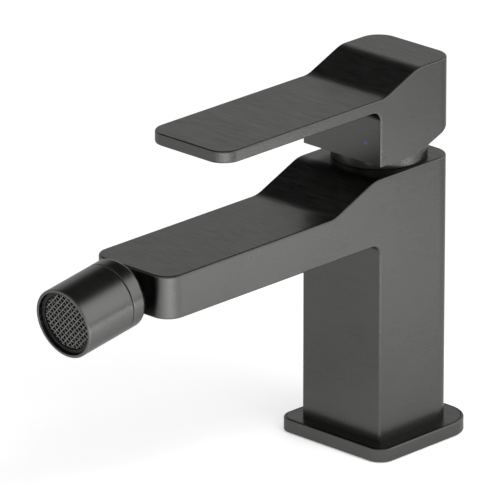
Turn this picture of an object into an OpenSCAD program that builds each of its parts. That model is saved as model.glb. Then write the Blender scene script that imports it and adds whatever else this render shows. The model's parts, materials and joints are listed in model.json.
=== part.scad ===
// Single-lever bidet mixer with a square column, a flat spout and a swivelling outlet.
// Origin: middle of the column on the deck. The spout points to -Y, +X is the cold side, +Z is up.

/* [Body] */
// Width of the column, the spout and the lever
body_w = 40; // [38:0.5:46]
// Depth of the column from front to back
column_d = 41; // [39:0.5:46]
// Height of the body's flat top above the deck
body_h = 110.7; // [104:0.1:120]
// Radius of the column's two rear corners, which the lever shares
rear_corner_r = 8.6; // [4:0.1:10]
// Radius on the column's front vertical edges
front_edge_r = 0.8; // [0.4:0.1:2]
// Distance from the column's axis to the spout's front end
spout_reach = 133.8; // [115:0.1:160]
// Height of the spout's underside above the deck
spout_under = 84.6; // [80:0.1:88]
// Thickness of the spout
spout_t = 16.8; // [16:0.1:19]
// Radius of the spout's two front corners
spout_corner_r = 7.7; // [3:0.1:9]
// Distance in front of the axis where the body's top slope begins
slope_top = 23.5; // [21.5:0.1:27]
// Distance in front of the axis where the body's top slope ends
slope_foot = 45.8; // [40:0.1:60]
// Bending radius where the body's slope meets the flats
slope_bend_r = 14; // [4:0.5:18]
// Radius in the corner under the spout
under_spout_r = 4.4; // [1:0.1:8]
// Wall beside the water channel in the spout
channel_side_wall = 4; // [3:0.1:6]
// Wall over and under the water channel in the spout
channel_wall = 3; // [2.4:0.1:3.4]
// Metal between the water channel and the spout's front end
nose_wall = 9.8; // [9:0.1:14]

/* [Base] */
// Width and depth of the square base plate
plate_w = 54; // [50:0.5:62]
// Thickness of the base plate
plate_t = 5.3; // [4:0.1:8]
// Radius of the base plate's front corners
plate_front_r = 6.2; // [3:0.1:10]
// Radius of the base plate's rear corners
plate_rear_r = 13.3; // [6:0.1:16]
// How far the base plate stands over the deck on its gasket
gasket_proud = 0.2; // [0.1:0.1:0.6]
// Depth of the gasket's recess in the plate
gasket_recess = 1.8; // [1:0.1:2.6]
// Distance from the plate's edge to the gasket
gasket_inset = 2; // [1:0.1:4]
// Radius of the body's spigot, which the plate is centred on
spigot_r = 15; // [14.5:0.1:16]
// How far the spigot stays above the deck
spigot_lift = 1; // [0.6:0.1:2]

/* [Inlets and fixing] */
// Sideways distance from the axis to each inlet
inlet_x = 6.5; // [6:0.1:7]
// Distance of the inlets in front of the axis
inlet_y = 3.5; // [3:0.1:4]
// Radius of the threaded hose inlets
inlet_r = 4.5; // [4:0.1:5]
// Depth of the threaded hose inlets
inlet_depth = 12; // [8:0.5:16]
// Radius of the water channels above the inlets
feed_r = 3; // [2.2:0.1:3.4]
// Radius of the threaded hole for the fixing stud
stud_hole_r = 3.4; // [2.5:0.1:4]
// Depth of the threaded hole for the fixing stud
stud_hole_depth = 22; // [14:0.5:30]
// Distance of the stud's hole behind the axis
stud_hole_y = 8.5; // [8:0.1:9]

/* [Cartridge] */
// Depth of the cartridge chamber under the body's top
chamber_depth = 34.7; // [34.7:0.1:38]
// Radius of the cartridge's housing
housing_r = 12.5; // [12.2:0.1:13.2]
// Wall of the cartridge's housing
housing_wall = 1.9; // [1.4:0.1:2]
// Width of the ring-shaped water space round the housing
water_ring = 1.3; // [0.8:0.1:1.6]
// Height of the cartridge's base above its flange
base_plug_h = 3; // [2.6:0.1:3.4]
// Thickness of the flange of the cartridge's base
base_flange_t = 2.1; // [1.6:0.1:2.6]
// Thickness of each ceramic disc
disc_t = 3; // [2.4:0.1:3.2]
// Radius of the moving ceramic disc
moving_disc_r = 7.6; // [7.2:0.1:7.8]
// Height of the lever's pivot pin under the body's top
pivot_drop = 3.2; // [2.8:0.1:3.4]
// Length of the stem's lower arm, from the pin to its ball tip
stem_arm = 13.5; // [12.8:0.1:13.8]
// Length of the stem above the pin
stem_rise = 27; // [26.5:0.5:29]
// Side of the stem's square end
stem_square = 8; // [7:0.1:9]
// Width of the stem between the carrier's cheeks
stem_blade = 6; // [5:0.1:6.4]
// Radius of the stem's ball tip
stem_tip_r = 2.5; // [2.2:0.1:2.8]
// Radius of the pivot pin
pivot_pin_r = 1.5; // [1.2:0.1:1.8]
// Height of the body's threaded neck above its top
neck_h = 2.7; // [2.4:0.1:2.9]
// Wall of the body's threaded neck
neck_wall = 1.6; // [1.2:0.1:1.8]
// Wall of the cartridge's nut
nut_wall = 2.5; // [2:0.1:2.8]

/* [Collar] */
// Radius of the collar under the lever
collar_r = 18.25; // [17.8:0.05:18.6]
// Height of the collar above the body's top
collar_h = 3.9; // [3.7:0.1:4.2]
// Radius of the opening in the collar's top, round the stem
collar_eye_r = 7.6; // [7:0.1:9]

/* [Lever] */
// Distance from the column's axis to the lever's front end
lever_reach = 104.4; // [85:0.1:125]
// Gap between the body's top and the lever's underside
lever_gap = 4.7; // [4.6:0.1:6]
// Height of the lever's block from its underside to its top
lever_block_h = 34.1; // [32:0.1:38]
// Thickness of the lever's handle plate
handle_t = 4.7; // [4:0.1:6]
// Distance of the handle plate's top under the block's top
handle_drop = 7.5; // [5:0.1:9]
// Distance in front of the axis where the lever's top slope ends
lever_slope_foot = 18.3; // [16:0.1:24]
// Distance in front of the axis where the lever's top slope begins
lever_slope_top = 0.2; // [0:0.1:1]
// Bending radius where the lever's slope meets the flats
lever_bend_r = 12; // [4:0.5:16]
// Radius in the corner under the handle plate
under_handle_r = 4.4; // [1:0.1:6]
// Radius of the handle plate's two front corners
handle_corner_r = 8; // [3:0.1:10]
// Radius where the lever's bevel meets its rear face
bevel_end_r = 5; // [1:0.1:8]
// Angle that the lever lifts, which its rear bevel allows
lift_max = 21; // [16:0.5:22]
// Depth of the round recess in the lever's underside
lever_recess = 3; // [2:0.1:5]
// Radius of the round recess in the lever's underside
lever_recess_r = 9.2; // [8.6:0.1:11]
// Sideways distance of each colour dot from the middle
dot_x = 12.1; // [9:0.1:14]
// Height of the colour dots above the lever's underside
dot_rise = 7.8; // [5:0.1:10]
// Radius of the colour dots
dot_r = 1.2; // [0.8:0.1:1.6]
// Radius of the lever's set screw
screw_r = 2.5; // [2:0.1:3]
// Height of the set screw above the lever's underside
screw_rise = 14.8; // [14.6:0.1:15.4]

/* [Outlet] */
// Distance of the outlet's axis under the middle of the spout
outlet_drop = 0.7; // [0:0.1:1]
// Gap from the ball's centre to the spout's front end
ball_stand_off = 9; // [9:0.1:11]
// Radius of the ball
ball_r = 7.5; // [7.3:0.1:7.6]
// Radius of the ball stud's neck
ball_neck_r = 4.4; // [4:0.1:4.6]
// Radius of the water bore through the ball stud
ball_bore_r = 2.8; // [2:0.1:3.2]
// Outer radius of the swivelling outlet
outlet_r = 13.6; // [13.4:0.1:14.4]
// Distance from the ball's centre to the outlet's front face
outlet_front = 25.4; // [24.5:0.1:28]
// Distance from the ball's centre to the outlet's rear face
outlet_rear = 5; // [4.9:0.1:5.4]
// Radius on the outlet's rear edge
outlet_rear_r = 2.6; // [2:0.1:3.2]
// Length of the front sleeve that shows
sleeve_len = 23.2; // [22.8:0.1:23.6]
// Wall of the front sleeve
sleeve_wall = 1.2; // [1:0.1:1.6]
// Width of the seam between the sleeve and the rear nut
seam_gap = 0.3; // [0.1:0.05:0.6]
// Angle that the outlet points down as shown
outlet_tilt = 9.1; // [0:0.1:12]
// Depth of the aerator's front ring behind the sleeve's face
aerator_depth = 1.5; // [0.5:0.1:2.5]
// Width of the aerator's front ring
aerator_ring_w = 1.4; // [1:0.1:2]
// Distance from wire to wire in the front screen
screen_pitch = 1.7; // [1.5:0.1:2.4]
// Distance from wire to wire in the screen behind
inner_screen_pitch = 2.4; // [2.2:0.1:3]
// Thickness of the screens' wires
screen_wire = 0.5; // [0.3:0.05:0.7]

/* [Clearances] */
// Radial clearance of running fits
run_fit = 0.05; // [0.03:0.01:0.08]
// Gap between pieces that only lie beside each other
air = 0.1; // [0.05:0.05:0.2]
// Gap between pieces that move past each other
body_gap = 0.3; // [0.2:0.05:0.4]

/* [Hidden] */
$fn = 96;
// Steps in each rounded corner of a drawn outline
arc_steps = 8;
// Length that a cut runs past the face it opens
over = 1;
// Overlap of the flat pieces that make up one outline
lap = 0.01;

// Colours as the finished pieces show them
gunmetal = [0.27, 0.27, 0.26];
brass = [0.72, 0.58, 0.32];
steel = [0.62, 0.62, 0.64];
ceramic = [0.9, 0.89, 0.85];
white_plastic = [0.82, 0.83, 0.84];
dark_plastic = [0.2, 0.2, 0.21];
red_plastic = [0.75, 0.2, 0.15];
rubber = [0.08, 0.08, 0.08];
cold_blue = [0.05, 0.13, 0.4];
hot_red = [0.5, 0.05, 0.04];

// Places along the column
column_front = -column_d / 2;
column_rear = column_d / 2;
plate_top = gasket_proud + plate_t;
gasket_bore_r = spigot_r + 2;
spout_top = spout_under + spout_t;
spout_mid = spout_under + spout_t / 2;

// Cartridge's base, which stands on two seals on the chamber's floor
chamber_floor = body_h - chamber_depth;
seal_wire_r = 0.7;
seal_groove = 0.6;
seal_inner_r = feed_r + 0.3;
base_bottom = chamber_floor + 2 * (seal_wire_r + run_fit) - seal_groove;
base_flange_top = base_bottom + base_flange_t;
base_top = base_flange_top + base_plug_h;
slot_skin = 0.6;
window_h = base_plug_h + 1.4;

// Ports in the fixed disc: both inlets lie in front of the axis and the outlet behind it
port_r = 1.6;
port_x = 2.5;
port_y = -2.5;
outlet_port_r = 2.1;
outlet_port_y = 3;
window_w = 2 * outlet_port_r + 2;

// Channels in the base, which lead each inlet inwards to its port
base_inlet_r = 2;
inlet_channel_z = base_bottom + 1.5;
inlet_channel_h = 1.6;
inlet_channel_len = norm([inlet_x - port_x, inlet_y + port_y]);
inlet_channel_turn = atan2(inlet_y + port_y, port_x - inlet_x);

// Ceramic discs and the carrier that moves the upper one
fixed_disc_top = base_top + disc_t;
moving_disc_bottom = fixed_disc_top + run_fit / 2;
moving_disc_top = moving_disc_bottom + disc_t;
disc_hollow_r = 2.4;
disc_hollow_len = 2.5;
disc_hollow_roof = 1;
carrier_bottom = moving_disc_top + run_fit / 2;
carrier_foot_t = 2.4;
carrier_block_w = 12;
carrier_block_d = 9;
pivot_z = body_h - pivot_drop;
tip_z = pivot_z - stem_arm;
tip_socket_floor = tip_z - stem_tip_r - 0.8;
carrier_top = tip_z + 1.6;

// Rotor that holds the pivot pin, under the housing's lid
cheek_bottom = carrier_bottom + carrier_foot_t + body_gap;
cheek_t = 5;
cheek_x = (carrier_block_w + cheek_t) / 2 + air;
cheek_d = 7;
rotor_bottom = carrier_top + 2 * body_gap;
rotor_top = body_h - 0.8;
lid_bottom = rotor_top + 2 * air;
lid_top = lid_bottom + 1.7;
limit_ring_t = 1;
rotor_boss_top = lid_top + air + limit_ring_t;
rotor_boss_r = 8;
housing_inner_r = housing_r - housing_wall;
rotor_r = housing_inner_r - 2 * air;
pin_half = rotor_r - 0.6;
tab_w = 3;
stop_play = 3;
tab_end = rotor_boss_r + 1.9;
turn_limit = 45;

// Housing, nut and the body's neck
housing_foot = base_flange_top + air;
shoulder_drop = 4.7;
shoulder_z = body_h - shoulder_drop;
shoulder_r = housing_r - 0.9;
chamber_r = housing_r + air;
nut_inner_r = shoulder_r + air;
nut_r = nut_inner_r + nut_wall;
nut_bore_r = nut_r + air;
nut_bore_z = shoulder_z - 2;
nut_top = body_h + neck_h - 0.4;
nut_key_w = 3;
nut_key_depth = 1.6;
neck_r = nut_bore_r + neck_wall;
o_ring_wire_r = 0.6;
o_ring_z = nut_bore_z - 1.7;
o_ring_groove_h = 1.6;
o_ring_groove_r = housing_r - 2 * o_ring_wire_r - air;
water_top = o_ring_z - 1.3;

// Stem and lever
lean = lift_max / 2;
tip_rest_y = stem_arm * sin(lean);
slot_half = 5.6;
stem_shoulder = 6.6;
stem_blade_d = 7;
stem_socket_w = stem_square + 2 * run_fit;
stem_neck_r = stem_tip_r - 0.7;
stem_neck_len = 4;
lever_bottom = body_h + lever_gap;
lever_top = lever_bottom + lever_block_h;
handle_top = lever_top - handle_drop;
handle_bottom = handle_top - handle_t;
bevel_start = -0.4;
bevel_rise = (column_rear - bevel_start) * tan(lift_max);
collar_top = body_h + collar_h;
collar_bore_r = neck_r + air;
dot_depth = 1.6;

// Set screw, whose tip stops on the rear face of the leaning stem
screw_z = lever_bottom + screw_rise;
screw_len = 8;
screw_tip_y = stem_square / 2 / cos(lean) - (screw_z - screw_r - pivot_z) * tan(lean) + air;
hex_r = screw_r / 2;
hex_depth = 3;
plug_r = screw_r + 0.5;
plug_len = 3;

// Ball joint
outlet_axis_z = spout_mid - outlet_drop;
ball_y = -(spout_reach + ball_stand_off);
stud_shank_r = 4.8;
stud_shank_len = nose_wall - 0.6;
stud_bore_len = ball_r + ball_stand_off + nose_wall + 2 * over;
stud_flange_r = 6.2;
stud_flange_t = 1.4;
stud_seal_wire_r = 0.65;
liner_in_r = ball_r + run_fit;
liner_out_r = liner_in_r + 0.75;
liner_eye_r = ball_neck_r + 1.8;
liner_front_z = -0.9;
liner_rear_z = -liner_out_r * cos(56);
seat_r = liner_out_r + run_fit;
nut_opening_r = ball_neck_r + 2.5;

// Outlet's shell and the aerator in it, measured from the ball's centre
seam_z = outlet_front - sleeve_len;
nut_end_z = seam_z - seam_gap / 2;
sleeve_thread_r = outlet_r - 2.5;
sleeve_foot_z = -1.5;
sleeve_bore_r = seat_r + 0.25;
ball_seal_wire_r = 1.3;
ball_seal_r = sleeve_bore_r - ball_seal_wire_r - 2 * air;
ball_seal_z = sqrt(pow(ball_r + ball_seal_wire_r + run_fit, 2) - pow(ball_seal_r, 2));
web_bottom = ball_seal_z + ball_seal_wire_r + air;
web_top = web_bottom + 2.5;
web_hole_r = 5.4;
insert_r = outlet_r - sleeve_wall;
gasket_ring_t = 1.75;
gasket_ring_w = 3.6;
cage_r = insert_r - air;
cage_bottom = web_top + gasket_ring_t + air;
cage_top = outlet_front - aerator_depth;
cage_ledge_w = 0.6;
screen_seat_r = cage_r - aerator_ring_w;
screen_z = cage_top - 1.3;
cage_bore_r = screen_seat_r - 0.7;
diffuser_z = cage_bottom + 2;
diffuser_t = 1.5;
diffuser_r = cage_bore_r - air;
jet_r = 1;
jet_circle_r = 0.62 * diffuser_r;
inner_screen_z = screen_z - 2;
net_rim_w = 0.5;

// The corner b between a and c as points on an arc of radius r
function unit(v) = v / norm(v);
function corner_arc(a, b, c, r) =
    let (u = unit(a - b), w = unit(c - b), half = acos(u * w) / 2)
    let (m = b + unit(u + w) * r / sin(half))
    let (p = b + u * r / tan(half) - m, q = b + w * r / tan(half) - m)
    let (start = atan2(p.y, p.x), turn = (atan2(q.y, q.x) - start + 540) % 360 - 180)
    [for (i = [0:arc_steps]) m + r * [cos(start + turn * i / arc_steps), sin(start + turn * i / arc_steps)]];

// An outline whose corners are [x, y, radius], where radius 0 keeps a corner sharp
function rounded(corners) = [
    for (i = [0:len(corners) - 1])
        let (n = len(corners), a = corners[(i + n - 1) % n], b = corners[i], c = corners[(i + 1) % n])
            each (b.z > 0 ? corner_arc([a.x, a.y], [b.x, b.y], [c.x, c.y], b.z) : [[b.x, b.y]])
];

// Rectangle seen from above, with its own radius on the front and on the rear corners
module plan(w, front, rear, front_r, rear_r) {
    translate([-w / 2, front + front_r]) square([w, rear - front - front_r - rear_r]);
    translate([-w / 2 + front_r, front]) square([w - 2 * front_r, front_r + lap]);
    translate([-w / 2 + rear_r, rear - rear_r - lap]) square([w - 2 * rear_r, rear_r + lap]);
    for (side = [-1, 1]) {
        translate([side * (w / 2 - front_r), front + front_r]) circle(front_r);
        translate([side * (w / 2 - rear_r), rear - rear_r]) circle(rear_r);
    }
}

// Side view drawn as [Y, Z] and extruded across the width
module side_view(w, corners) {
    translate([-w / 2, 0, 0]) rotate([90, 0, 90]) linear_extrude(w) polygon(rounded(corners));
}

// Flat ring or disc between two heights
module ring(outer, inner, low, high) {
    difference() {
        translate([0, 0, low]) cylinder(r = outer, h = high - low);
        translate([0, 0, low - over]) cylinder(r = inner, h = high - low + 2 * over);
    }
}

// Rubber ring of round section
module torus(major, wire) {
    rotate_extrude() translate([major, 0]) circle(wire);
}

// Frame of the swivelling outlet: +Z runs from the ball's centre to the front face
module outlet_frame() {
    translate([0, ball_y, outlet_axis_z]) rotate([90 + outlet_tilt, 0, 0]) children();
}

// Frame of the stem: its pin lies on X, and the stem leans to the front while the valve is shut
module stem_frame() {
    translate([0, 0, pivot_z]) rotate([lean, 0, 0]) children();
}

module base_gasket() {
    color(rubber) linear_extrude(gasket_proud + gasket_recess - air) difference() {
        plan(plate_w - 2 * gasket_inset, -plate_w / 2 + gasket_inset, plate_w / 2 - gasket_inset,
            plate_front_r - gasket_inset + air, plate_rear_r - gasket_inset);
        circle(gasket_bore_r);
    }
}

module base_plate() {
    color(gunmetal) difference() {
        translate([0, 0, gasket_proud]) linear_extrude(plate_t)
            plan(plate_w, -plate_w / 2, plate_w / 2, plate_front_r, plate_rear_r);
        translate([0, 0, -over]) cylinder(r = spigot_r + air, h = plate_top + 2 * over);
        translate([0, 0, gasket_proud - over]) linear_extrude(gasket_recess + over) difference() {
            plan(plate_w - 2 * (gasket_inset - air), -plate_w / 2 + gasket_inset - air,
                plate_w / 2 - gasket_inset + air, plate_front_r - gasket_inset + 2 * air,
                plate_rear_r - gasket_inset + air);
            circle(gasket_bore_r - air);
        }
    }
}

// Column and spout are one casting
module body_casting() {
    intersection() {
        side_view(body_w, [
            [column_rear, plate_top, 0],
            [column_rear, body_h, 0],
            [-slope_top, body_h, slope_bend_r],
            [-slope_foot, spout_top, slope_bend_r],
            [-spout_reach, spout_top, 0],
            [-spout_reach, spout_under, 0],
            [column_front, spout_under, under_spout_r],
            [column_front, plate_top, 0]
        ]);
        translate([0, 0, plate_top - over]) linear_extrude(body_h)
            plan(body_w, -spout_reach, column_rear, spout_corner_r, rear_corner_r);
        union() {
            translate([0, 0, plate_top - over]) linear_extrude(body_h)
                plan(body_w, column_front, column_rear, front_edge_r, rear_corner_r);
            translate([-body_w, -spout_reach - over, spout_under - under_spout_r])
                cube([2 * body_w, spout_reach + over, body_h]);
        }
    }
}

// Chamber for the cartridge, with a wider water space round its middle
module chamber_cut() {
    translate([0, 0, chamber_floor]) cylinder(r = chamber_r, h = body_h);
    translate([0, 0, base_flange_top]) cylinder(r = chamber_r + water_ring, h = water_top - base_flange_top);
    translate([0, 0, nut_bore_z]) cylinder(r = nut_bore_r, h = body_h);
}

// Water way from the chamber to the ball stud
module spout_channel() {
    port_half = housing_r - 2.5;
    channel_h = spout_t - 2 * channel_wall;
    wide_rear = column_front + 2.5;
    port_rear = 3 - housing_r;
    translate([-port_half, wide_rear - over, spout_under + channel_wall])
        cube([2 * port_half, port_rear - wide_rear + over, channel_h]);
    translate([-body_w / 2 + channel_side_wall, -spout_reach + nose_wall, spout_under + channel_wall])
        cube([body_w - 2 * channel_side_wall, spout_reach - nose_wall + wide_rear, channel_h]);
    translate([0, -spout_reach - over, outlet_axis_z]) rotate([-90, 0, 0]) {
        cylinder(r = stud_shank_r + run_fit, h = nose_wall + 2 * over);
        cylinder(r = stud_flange_r + air, h = over + stud_flange_t + 2 * stud_seal_wire_r + 2 * air);
    }
}

module spout_body() {
    color(gunmetal) difference() {
        union() {
            body_casting();
            translate([0, 0, spigot_lift]) cylinder(r = spigot_r, h = plate_top - spigot_lift + over);
            translate([0, 0, body_h - over]) cylinder(r = neck_r, h = neck_h + over);
        }
        chamber_cut();
        spout_channel();
        for (side = [-1, 1]) translate([side * inlet_x, -inlet_y, 0]) {
            translate([0, 0, spigot_lift - over]) cylinder(r = inlet_r, h = inlet_depth + over);
            translate([0, 0, spigot_lift]) cylinder(r = feed_r, h = chamber_floor);
        }
        translate([0, stud_hole_y, spigot_lift - over])
            cylinder(r = stud_hole_r, h = stud_hole_depth + over);
    }
}

module inlet_seals() {
    color(rubber) for (side = [-1, 1])
        translate([side * inlet_x, -inlet_y, chamber_floor + seal_wire_r + run_fit])
            torus(seal_inner_r + seal_wire_r, seal_wire_r);
}

module cartridge_base() {
    color(white_plastic) difference() {
        union() {
            translate([0, 0, base_bottom]) cylinder(r = housing_r - air, h = base_flange_t);
            translate([0, 0, base_bottom]) cylinder(r = housing_inner_r - air, h = base_top - base_bottom);
        }
        for (side = [0, 1]) mirror([side, 0, 0]) {
            inlet_way();
            translate([inlet_x, -inlet_y, base_bottom])
                ring_cut(seal_inner_r - air, seal_inner_r + 2 * seal_wire_r + air, seal_groove);
        }
        translate([0, outlet_port_y, base_flange_top + slot_skin]) {
            cylinder(r = outlet_port_r, h = base_plug_h);
            translate([-outlet_port_r, 0, 0])
                cube([2 * outlet_port_r, housing_r + over - outlet_port_y, base_plug_h - 2 * slot_skin]);
        }
    }
}

// Stepped way from the cold inlet up and inwards to its port in the fixed disc
module inlet_way() {
    translate([inlet_x, -inlet_y, base_bottom - over])
        cylinder(r = base_inlet_r, h = inlet_channel_z + inlet_channel_h - base_bottom + over);
    translate([inlet_x, -inlet_y, inlet_channel_z]) rotate([0, 0, inlet_channel_turn])
        translate([0, -port_r, 0]) cube([inlet_channel_len, 2 * port_r, inlet_channel_h]);
    translate([port_x, port_y, inlet_channel_z]) cylinder(r = port_r, h = base_top - inlet_channel_z + over);
}

// Ring-shaped groove cut upwards from height 0
module ring_cut(inner, outer, depth) {
    difference() {
        translate([0, 0, -over]) cylinder(r = outer, h = depth + over);
        translate([0, 0, -2 * over]) cylinder(r = inner, h = depth + 4 * over);
    }
}

module fixed_disc() {
    color(ceramic) difference() {
        translate([0, 0, base_top]) cylinder(r = housing_inner_r - 2 * air, h = disc_t);
        for (side = [-1, 1])
            translate([side * port_x, port_y, base_top - over]) cylinder(r = port_r, h = disc_t + 2 * over);
        translate([0, outlet_port_y, base_top - over]) cylinder(r = outlet_port_r, h = disc_t + 2 * over);
    }
}

// Drawn with the valve shut. Its hollow joins the ports when the disc slides to the front
module moving_disc() {
    hollow_h = disc_t - disc_hollow_roof + over;
    color(ceramic) translate([0, tip_rest_y, moving_disc_bottom]) difference() {
        cylinder(r = moving_disc_r, h = disc_t);
        translate([0, 0, -over]) {
            for (shift = [0, disc_hollow_len]) translate([0, shift, 0])
                cylinder(r = disc_hollow_r, h = hollow_h);
            translate([-disc_hollow_r, 0, 0]) cube([2 * disc_hollow_r, disc_hollow_len, hollow_h]);
        }
    }
}

module disc_carrier() {
    color(dark_plastic) translate([0, tip_rest_y, 0]) difference() {
        union() {
            translate([0, 0, carrier_bottom]) cylinder(r = moving_disc_r, h = carrier_foot_t);
            translate([-carrier_block_w / 2, -carrier_block_d / 2, carrier_bottom])
                cube([carrier_block_w, carrier_block_d, carrier_top - carrier_bottom]);
        }
        translate([0, 0, tip_socket_floor])
            cylinder(r = stem_tip_r + 2 * run_fit, h = carrier_top - tip_socket_floor + over);
    }
}

// Turns in the housing and carries the pin. Its cheeks guide the disc carrier, and its tab stops the turn
module stem_carrier() {
    color(white_plastic) difference() {
        union() {
            translate([0, 0, rotor_bottom]) cylinder(r = rotor_r, h = rotor_top - rotor_bottom);
            translate([0, 0, rotor_bottom]) cylinder(r = rotor_boss_r, h = rotor_boss_top - rotor_bottom);
            intersection() {
                translate([0, 0, cheek_bottom]) cylinder(r = rotor_r, h = rotor_bottom - cheek_bottom + over);
                for (side = [-1, 1])
                    translate([side * cheek_x - cheek_t / 2, -cheek_d / 2, cheek_bottom])
                        cube([cheek_t, cheek_d, rotor_bottom - cheek_bottom + over]);
            }
            translate([-tab_w / 2, 0, lid_top + air]) cube([tab_w, tab_end, limit_ring_t]);
        }
        translate([-stem_blade / 2 - air, -slot_half, rotor_bottom - over])
            cube([stem_blade + 2 * air, 2 * slot_half, rotor_boss_top - rotor_bottom + 2 * over]);
        translate([-rotor_r - over, 0, pivot_z]) rotate([0, 90, 0])
            cylinder(r = pivot_pin_r + run_fit, h = 2 * rotor_r + 2 * over);
    }
}

module pivot_pin() {
    color(steel) translate([-pin_half, 0, pivot_z]) rotate([0, 90, 0])
        cylinder(r = pivot_pin_r, h = 2 * pin_half);
}

module stem() {
    color(brass) stem_frame() difference() {
        union() {
            translate([0, 0, -stem_arm]) sphere(stem_tip_r);
            translate([0, 0, -stem_arm]) cylinder(r = stem_neck_r, h = stem_neck_len + over);
            translate([-stem_blade / 2, -stem_blade_d / 2, -stem_arm + stem_neck_len])
                cube([stem_blade, stem_blade_d, stem_arm - stem_neck_len + stem_shoulder + over]);
            translate([-stem_square / 2, -stem_square / 2, stem_shoulder])
                cube([stem_square, stem_square, stem_rise - stem_shoulder]);
        }
        translate([-stem_blade, 0, 0]) rotate([0, 90, 0])
            cylinder(r = pivot_pin_r + run_fit, h = 2 * stem_blade);
    }
}

module cartridge_housing() {
    color(white_plastic) difference() {
        union() {
            translate([0, 0, housing_foot]) cylinder(r = housing_r, h = shoulder_z - housing_foot);
            translate([0, 0, shoulder_z - over]) cylinder(r = shoulder_r, h = lid_top - shoulder_z + over);
        }
        translate([0, 0, housing_foot - over])
            cylinder(r = housing_inner_r, h = lid_bottom - housing_foot + over);
        cylinder(r = rotor_boss_r + 2 * run_fit, h = body_h + lever_gap);
        translate([-window_w / 2, housing_inner_r - over, housing_foot - over])
            cube([window_w, housing_wall + 2 * over, window_h]);
        translate([0, 0, o_ring_z])
            ring(housing_r + over, o_ring_groove_r, -o_ring_groove_h / 2, o_ring_groove_h / 2);
    }
}

module housing_o_ring() {
    color(rubber) translate([0, 0, o_ring_z]) torus(housing_r - o_ring_wire_r, o_ring_wire_r);
}

// Ring on the housing whose notch stops the carrier's tab at both ends of the turn
module limit_ring() {
    stop = turn_limit + asin(tab_w / 2 / rotor_boss_r) + stop_play;
    notch_r = tab_end + 0.5;
    color(red_plastic) difference() {
        ring(shoulder_r - air, rotor_boss_r + 2 * air, lid_top, lid_top + limit_ring_t);
        translate([0, 0, lid_top - over]) linear_extrude(limit_ring_t + 2 * over)
            polygon([[0, 0], for (i = [-4:4]) notch_r * [sin(stop * i / 4), cos(stop * i / 4)]]);
    }
}

module cartridge_nut() {
    color(brass) difference() {
        ring(nut_r, nut_inner_r, shoulder_z + air, nut_top);
        for (turn = [0, 90]) rotate([0, 0, turn])
            translate([-nut_r - over, -nut_key_w / 2, nut_top - nut_key_depth])
                cube([2 * (nut_r + over), nut_key_w, nut_key_depth + over]);
    }
}

module neck_collar() {
    color(gunmetal) difference() {
        translate([0, 0, body_h + air / 2]) cylinder(r = collar_r, h = collar_h - air / 2);
        translate([0, 0, body_h - over]) cylinder(r = collar_bore_r, h = neck_h + air + over);
        cylinder(r = collar_eye_r, h = collar_top + over);
    }
}

module lever() {
    color(gunmetal) difference() {
        intersection() {
            side_view(body_w, [
                [-lever_reach, handle_bottom, 0],
                [-lever_reach, handle_top, 0],
                [-lever_slope_foot, handle_top, lever_bend_r],
                [-lever_slope_top, lever_top, lever_bend_r],
                [column_rear, lever_top, 0],
                [column_rear, lever_bottom + bevel_rise, bevel_end_r],
                [bevel_start, lever_bottom, 0],
                [column_front, lever_bottom, 0],
                [column_front, handle_bottom, under_handle_r]
            ]);
            translate([0, 0, lever_bottom - over]) linear_extrude(lever_block_h + 2 * over)
                plan(body_w, -lever_reach, column_rear, handle_corner_r, rear_corner_r);
            union() {
                translate([0, 0, lever_bottom - over]) linear_extrude(lever_block_h + 2 * over)
                    plan(body_w, column_front, column_rear, front_edge_r, rear_corner_r);
                translate([-body_w, -lever_reach - over, handle_bottom - under_handle_r])
                    cube([2 * body_w, lever_reach + over, lever_block_h]);
            }
        }
        translate([0, 0, lever_bottom - over]) cylinder(r = lever_recess_r, h = lever_recess + over);
        stem_frame() translate([-stem_socket_w / 2, -stem_socket_w / 2, stem_shoulder - over])
            cube([stem_socket_w, stem_socket_w, stem_rise - stem_shoulder + over + air]);
        translate([0, 0, screw_z]) rotate([-90, 0, 0])
            cylinder(r = screw_r + run_fit, h = column_rear + over);
        translate([0, column_rear - plug_len - air, screw_z]) rotate([-90, 0, 0])
            cylinder(r = plug_r + run_fit, h = plug_len + over);
        for (side = [-1, 1]) translate([side * dot_x, column_front - over, lever_bottom + dot_rise])
            rotate([-90, 0, 0]) cylinder(r = dot_r + run_fit, h = dot_depth + over);
    }
}

module lever_set_screw() {
    color(steel) translate([0, screw_tip_y, screw_z]) rotate([-90, 0, 0]) difference() {
        cylinder(r = screw_r, h = screw_len);
        translate([0, 0, screw_len - hex_depth]) cylinder(r = hex_r, h = hex_depth + over, $fn = 6);
    }
}

module screw_plug() {
    color(gunmetal) translate([0, column_rear - plug_len, screw_z]) rotate([-90, 0, 0])
        cylinder(r = plug_r, h = plug_len - air);
}

// Colour dot pressed into the block's front face on one side
module dot(side) {
    translate([side * dot_x, column_front - air, lever_bottom + dot_rise]) rotate([-90, 0, 0])
        cylinder(r = dot_r, h = dot_depth + air);
}

module cold_dot() {
    color(cold_blue) dot(1);
}

module hot_dot() {
    color(hot_red) dot(-1);
}

module ball_stud() {
    color(gunmetal) translate([0, ball_y, outlet_axis_z]) rotate([-90, 0, 0]) difference() {
        union() {
            sphere(ball_r);
            cylinder(r = ball_neck_r, h = ball_stand_off + over);
            translate([0, 0, ball_stand_off + air]) cylinder(r = stud_flange_r, h = stud_flange_t);
            translate([0, 0, ball_stand_off + air]) cylinder(r = stud_shank_r, h = stud_shank_len);
        }
        translate([0, 0, -ball_r - over]) cylinder(r = ball_bore_r, h = stud_bore_len);
    }
}

module stud_seal() {
    color(rubber) translate([0, -spout_reach + stud_flange_t + stud_seal_wire_r + 1.5 * air, outlet_axis_z])
        rotate([90, 0, 0]) torus(stud_shank_r + stud_seal_wire_r + run_fit, stud_seal_wire_r);
}

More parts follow.
